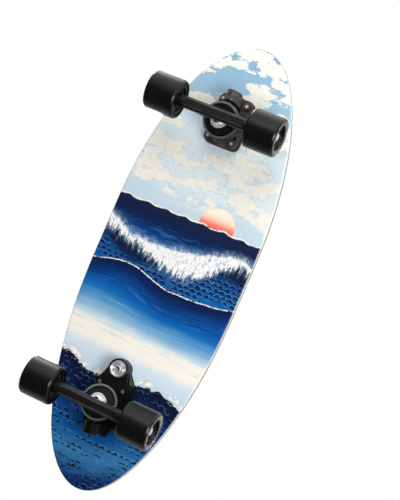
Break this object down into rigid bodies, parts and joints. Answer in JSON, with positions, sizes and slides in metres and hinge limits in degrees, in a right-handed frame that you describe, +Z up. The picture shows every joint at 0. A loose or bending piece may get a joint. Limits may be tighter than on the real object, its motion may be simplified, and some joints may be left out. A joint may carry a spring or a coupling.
{
  "type": "surfskate board",
  "caption": "Short kicktail deck on two trucks for carving: the rear truck leans, the sprung front truck also swings, on soft urethane wheels.",
  "frame": {"origin": "on the ground, under the middle of the deck's length and width", "axes": "+X to the nose, +Y to the rider's left, +Z up"},
  "size_m": [0.762, 0.254, 0.1508],
  "materials": {
    "deck_print_wood": "printed and lacquered maple",
    "grip": "coarse abrasive sheet",
    "riser_rubber": "matt rubber",
    "black_steel": "black oxide",
    "cast_black": "cast aluminium, satin black powder coat",
    "dark_steel": "black oxide steel",
    "zinc": "zinc plated steel",
    "pale_urethane": "translucent white urethane",
    "pivot_cup": "black urethane",
    "pivot_silver": "turned and polished steel",
    "bearing_steel": "ground steel",
    "bronze": "sintered bronze",
    "wheel_urethane": "smooth black urethane",
    "wheel_core": "moulded core"
  },
  "bodies": {
    "board": {"deck": "deck_print_wood", "grip_tape": "grip", "rear_riser": "riser_rubber", "front_riser": "riser_rubber", "rear_deck_bolts": "zinc", "front_deck_bolts": "zinc", "rear_deck_nuts": "zinc", "front_deck_nuts": "black_steel", "rear_baseplate": "cast_black", "rear_kingpin": "dark_steel", "rear_kingpin_nut": "zinc", "rear_cupped_washers": "zinc", "rear_boardside_bushing": "pale_urethane", "rear_roadside_bushing": "pale_urethane", "rear_pivot_cup": "pivot_cup", "front_baseplate": "cast_black", "pivot_bolt": "pivot_silver", "pivot_nut": "pivot_silver", "lower_thrust_bearing": "bearing_steel", "upper_thrust_bearing": "bearing_steel", "centering_spring": "black_steel"},
    "swing_arm": {"swing_arm": "cast_black", "pivot_sleeve": "bronze", "access_plugs": "black_steel", "front_kingpin": "dark_steel", "front_kingpin_nut": "zinc", "front_cupped_washers": "zinc", "front_boardside_bushing": "pale_urethane", "front_roadside_bushing": "pale_urethane", "front_pivot_cup": "pivot_cup"},
    "rear_hanger": {"rear_hanger": "cast_black", "rear_axle": "zinc", "rear_speed_washers": "zinc", "rear_axle_nuts": "zinc"},
    "front_hanger": {"front_hanger": "cast_black", "front_axle": "zinc", "front_speed_washers": "zinc", "front_axle_nuts": "zinc"},
    "rear_left_wheel": {"rear_left_tyre": "wheel_urethane", "rear_left_core": "wheel_core", "rear_left_bearings": "bearing_steel", "rear_left_spacer": "zinc"},
    "rear_right_wheel": {"rear_right_tyre": "wheel_urethane", "rear_right_core": "wheel_core", "rear_right_bearings": "bearing_steel", "rear_right_spacer": "zinc"},
    "front_left_wheel": {"front_left_tyre": "wheel_urethane", "front_left_core": "wheel_core", "front_left_bearings": "bearing_steel", "front_left_spacer": "zinc"},
    "front_right_wheel": {"front_right_tyre": "wheel_urethane", "front_right_core": "wheel_core", "front_right_bearings": "bearing_steel", "front_right_spacer": "zinc"}
  },
  "joints": [
    {"name": "rear_lean", "type": "hinge", "parent": "board", "child": "rear_hanger", "pos_m": [-0.2432, 0, 0.074], "axis": [-0.9781, 0, 0.2079], "range_deg": [-12, 12], "stiffness_Nm_per_rad": 60, "deforming": ["rear_boardside_bushing", "rear_roadside_bushing"]},
    {"name": "arm_swing", "type": "hinge", "parent": "board", "child": "swing_arm", "pos_m": [0.176, 0, 0.1], "axis": [0, 0, 1], "range_deg": [-25, 25], "stiffness_Nm_per_rad": 14, "deforming": ["centering_spring"]},
    {"name": "front_lean", "type": "hinge", "parent": "swing_arm", "child": "front_hanger", "pos_m": [0.2338, 0, 0.074], "axis": [0.9781, 0, 0.2079], "range_deg": [-12, 12], "stiffness_Nm_per_rad": 60, "deforming": ["front_boardside_bushing", "front_roadside_bushing"]},
    {"name": "rear_left_spin", "type": "hinge", "parent": "rear_hanger", "child": "rear_left_wheel", "pos_m": [-0.2432, 0.0845, 0.031], "axis": [0, 1, 0], "continuous": true},
    {"name": "rear_right_spin", "type": "hinge", "parent": "rear_hanger", "child": "rear_right_wheel", "pos_m": [-0.2432, -0.0845, 0.031], "axis": [0, 1, 0], "continuous": true},
    {"name": "front_left_spin", "type": "hinge", "parent": "front_hanger", "child": "front_left_wheel", "pos_m": [0.2338, 0.0845, 0.031], "axis": [0, 1, 0], "continuous": true},
    {"name": "front_right_spin", "type": "hinge", "parent": "front_hanger", "child": "front_right_wheel", "pos_m": [0.2338, -0.0845, 0.031], "axis": [0, 1, 0], "continuous": true}
  ]
}
